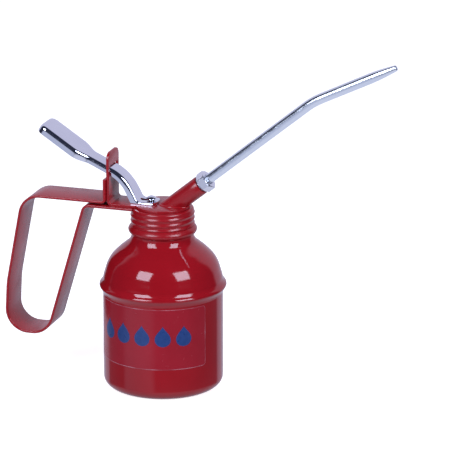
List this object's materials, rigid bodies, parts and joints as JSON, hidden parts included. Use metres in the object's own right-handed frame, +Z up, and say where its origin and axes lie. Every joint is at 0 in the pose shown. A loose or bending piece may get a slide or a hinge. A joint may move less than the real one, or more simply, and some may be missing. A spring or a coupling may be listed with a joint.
{
  "type": "oil can",
  "caption": "Hand-pumped workshop oil can: painted steel can with screw cap, strip loop handle, thumb lever, pump and rigid bent spout.",
  "frame": {"origin": "centre of the can's flat base, on the can's vertical axis", "axes": "+Z up along the can's axis, +X towards the spout tip with the handle at -X, +Y to the left when looking along +X"},
  "size_m": [0.2345, 0.0742, 0.2035],
  "materials": {
    "red_paint": "gloss stove enamel",
    "chrome_plate": "bright plated",
    "zinc_plate": "zinc plated, satin",
    "brass": "turned",
    "steel": "bright drawn",
    "seal_rubber": "matt",
    "fibre": "vulcanised fibre",
    "label_film": null
  },
  "bodies": {
    "can": {"can_cup": "red_paint", "can_dome": "red_paint", "label": "label_film"},
    "cap_seal": {"cap_gasket": "seal_rubber"},
    "head": {"screw_cap": "red_paint", "bracket": "red_paint", "handle_strip": "red_paint", "spout_base": "red_paint", "spout_nipple": "zinc_plate", "outlet_cage": "brass", "spout_washer": "fibre", "spout_nut": "zinc_plate", "pump_head": "zinc_plate", "pump_barrel": "brass", "rod_packing": "seal_rubber", "packing_washer": "brass", "return_spring": "steel", "foot_valve": "zinc_plate", "inlet_cage": "brass", "suction_tube": "brass"},
    "spout": {"spout_tube": "chrome_plate", "spout_ferrule": "chrome_plate"},
    "lever": {"lever": "chrome_plate"},
    "piston": {"pump_rod": "steel", "rod_knob": "chrome_plate", "piston_body": "brass", "piston_seal": "seal_rubber", "piston_seat": "brass"},
    "piston_check": {"piston_ball": "steel"},
    "inlet_check": {"inlet_ball": "steel"},
    "outlet_check": {"outlet_ball": "steel"}
  },
  "joints": [
    {"name": "cap_lift", "type": "slide", "parent": "can", "child": "cap_seal", "axis": [0, 0, 1], "range_m": [0, 0.0096]},
    {"name": "cap_turn", "type": "hinge", "parent": "cap_seal", "child": "head", "pos_m": [0, 0, 0.1], "axis": [0, 0, 1], "range_deg": [0, 1080]},
    {"name": "spout_turn", "type": "hinge", "parent": "head", "child": "spout", "pos_m": [0.007, 0, 0.1095], "axis": [0.7727, 0, 0.6347], "continuous": true},
    {"name": "lever_press", "type": "hinge", "parent": "head", "child": "lever", "pos_m": [-0.0306, 0, 0.1268], "axis": [0, -1, 0], "range_deg": [0, 20], "stiffness_Nm_per_rad": 0.347, "springref_deg": -17.99},
    {"name": "pump_stroke", "type": "slide", "parent": "head", "child": "piston", "axis": [0, 0, 1], "range_m": [0, 0.00792], "deforming": ["return_spring"]},
    {"name": "piston_check_lift", "type": "slide", "parent": "piston", "child": "piston_check", "axis": [0, 0, 1], "range_m": [0, 0.001]},
    {"name": "inlet_check_lift", "type": "slide", "parent": "head", "child": "inlet_check", "axis": [0, 0, 1], "range_m": [0, 0.001]},
    {"name": "outlet_check_lift", "type": "slide", "parent": "head", "child": "outlet_check", "axis": [0.7727, 0, 0.6347], "range_m": [0, 0.001]}
  ],
  "couplings": [
    {"joint": "cap_turn", "follows": "cap_lift", "rad_per_m": 1963.5},
    {"joint": "lever_press", "follows": "pump_stroke", "rad_per_m": 44.02}
  ]
}
